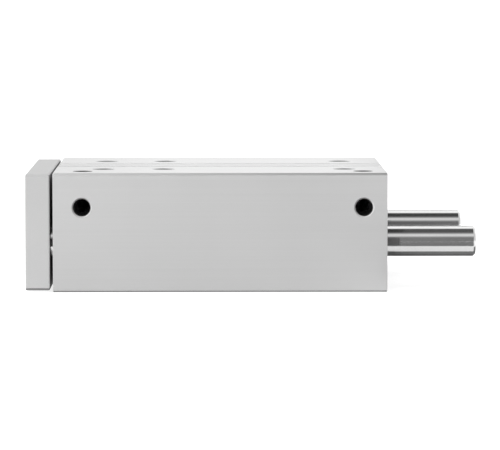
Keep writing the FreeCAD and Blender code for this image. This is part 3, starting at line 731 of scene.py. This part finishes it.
studioFloor = {"size": 80.0, "level": -0.0002, "tone": 0.40, "toneSpread": 0.01, "cloud": 3.0, "glow": 0.76,
               "rough": 0.9}
keyLight = {"rise": 50.0, "turn": -40.0, "spread": 40.0, "strength": 3.35, "distance": 2.0}
sky = {"front": 0.27, "overhead": 0.11, "overheadRise": (0.5, 0.9),
       "panel": 1.20, "panelRise": (0.47, 0.77), "panelFall": (0.98, 0.77),
       "sides": 0.90, "sideTurn": (0.45, 0.85),
       "behindLow": 1.18, "behindHigh": 1.45, "behindRise": (0.45, 0.7), "behindTurn": (0.26, 0.5)}
cardRough = 0.9
darkCards = (  # middle, size, tilt, tone
    ((0.181, -0.657, 0.0001), (0.118, 1.086), 0, 0.15),  # on the floor, for the near rod's grey band
    ((0.117, -0.244, 0.0001), (0.010, 0.260), 0, 0.15),
    ((0.83, -12.6, 0.0001), (1.34, 22.8), 0, 0.15),
    ((0.1755, 0.1125, 0.0001), (0.129, 0.375), 0, 0.16),  # on the floor, for its lowest band
    ((0.1755, -0.0945, 0.0001), (0.129, 0.039), 0, 0.80),  # pale, for its light band
    ((0.11385, -0.0785, 0.03225), (0.0085, 0.0119), 90, 0.33),  # upright at its root, reflected as a darker patch that stands in for the housing's shadow on the rod
    ((0.117, -0.0735, 0.12), (0.016, 0.049), 0, 0.03),  # above its root, for the same darker patch
    ((0.1420, -0.043, 0.0474), (0.064, 0.0058), 90, 0.25),  # behind it, for its upper outline
    ((0.1430, 0.05585, 0.10), (0.061, 0.0337), 0, 0.05),  # above the far rod
    ((0.1410, 0.030, 0.0405), (0.057, 0.013), 90, 0.20),  # above the far rod, reflected as darker bands that stand in for the shade on it
    ((0.1420, 0.085, 0.0486), (0.064, 0.0082), 90, 0.25),  # behind it
    ((-0.11035, -0.079, 0.0311), (0.0020, 0.0118), 90, 0.70))  # in the gap behind the plate


def makeFloor():
    bpy.ops.object.select_all(action="DESELECT")
    bpy.ops.mesh.primitive_plane_add(size=studioFloor["size"], location=(0, 0, studioFloor["level"]))
    floor = bpy.context.object
    floor.name = "floor"
    bpy.ops.object.transform_apply(location=True)
    coat = Finish("paleFloor", Roughness=studioFloor["rough"], Emission_Strength=studioFloor["glow"],
                  Emission_Color=grey(1.0))
    cloud = coat.noise(coat.place(), studioFloor["cloud"])
    light = studioFloor["tone"] + studioFloor["toneSpread"]
    floor.data.materials.append(coat.connect(coat.mixColour(cloud, grey(studioFloor["tone"]), grey(light))))


def makeDarkCards():  # flat flags that only reflections see, so that the rods get their bands, and darker reflected patches that stand in for shade on them
    for index, (middle, size, tilt, tone) in enumerate(darkCards):
        bpy.ops.object.select_all(action="DESELECT")
        bpy.ops.mesh.primitive_plane_add(size=1.0, location=middle, rotation=(math.radians(tilt), 0, 0))
        card = bpy.context.object
        card.name = "darkCard" + str(index + 1)
        card.scale = (size[0], size[1], 1)
        bpy.ops.object.transform_apply(location=True, rotation=True, scale=True)
        card.data.materials.append(Finish(card.name, Roughness=cardRough, Base_Color=grey(tone)).material)
        card.visible_camera = False
        card.visible_diffuse = False
        card.visible_shadow = False
        card.visible_transmission = False


def makeKeyLight():  # a broad sun above the front left
    rise = math.radians(keyLight["rise"])
    turn = math.radians(keyLight["turn"])
    data = bpy.data.lights.new("keyLight", "SUN")
    data.energy = keyLight["strength"]
    data.angle = math.radians(keyLight["spread"])
    sun = bpy.data.objects.new("keyLight", data)
    towards = Vector((math.sin(turn) * math.cos(rise), -math.cos(turn) * math.cos(rise), math.sin(rise)))
    sun.rotation_euler = towards.to_track_quat("Z", "Y").to_euler()
    sun.location = towards * keyLight["distance"]
    sun.visible_glossy = False  # no glare on the flat faces
    bpy.context.scene.collection.objects.link(sun)


def makeWorld():  # dark overhead, grey in front with a band of light, pale behind
    world = bpy.data.worlds.new("studio")
    world.use_nodes = True
    wire = Wire(world.node_tree)
    width, depth, height = wire.make("ShaderNodeTexCoord", out="Generated").split()
    front = sky["front"] + (sky["overhead"] - sky["front"]) * height.ease(*sky["overheadRise"])
    band = height.ease(*sky["panelRise"]) * height.ease(*sky["panelFall"])
    front = front + (sky["panel"] - sky["front"]) * band
    front = front + (sky["sides"] - front) * abs(width).ease(*sky["sideTurn"])
    behind = sky["behindLow"] + (sky["behindHigh"] - sky["behindLow"]) * height.ease(*sky["behindRise"])
    tone = front + (behind - front) * depth.ease(*sky["behindTurn"])
    wire.feed(world.node_tree.nodes["Background"].inputs["Color"], tone)
    bpy.context.scene.world = world


def makeCamera():
    view = {"place": (-0.00546, -2.15246, 0.21934), "down": 4.8371, "right": 0.6885, "lens": 229.30,
            "sensor": 36.0, "farthest": 200.0}
    data = bpy.data.cameras.new("camera")
    data.lens = view["lens"]
    data.sensor_width = view["sensor"]
    data.clip_end = view["farthest"]
    camera = bpy.data.objects.new("camera", data)
    camera.location = view["place"]
    camera.rotation_euler = (math.radians(90 - view["down"]), 0, math.radians(-view["right"]))
    bpy.context.scene.collection.objects.link(camera)
    bpy.context.scene.camera = camera


makeFloor()
makeDarkCards()
makeKeyLight()
makeWorld()
makeCamera()
bpy.context.scene.view_settings.view_transform = "Standard"
print("studio: floor, light and camera")
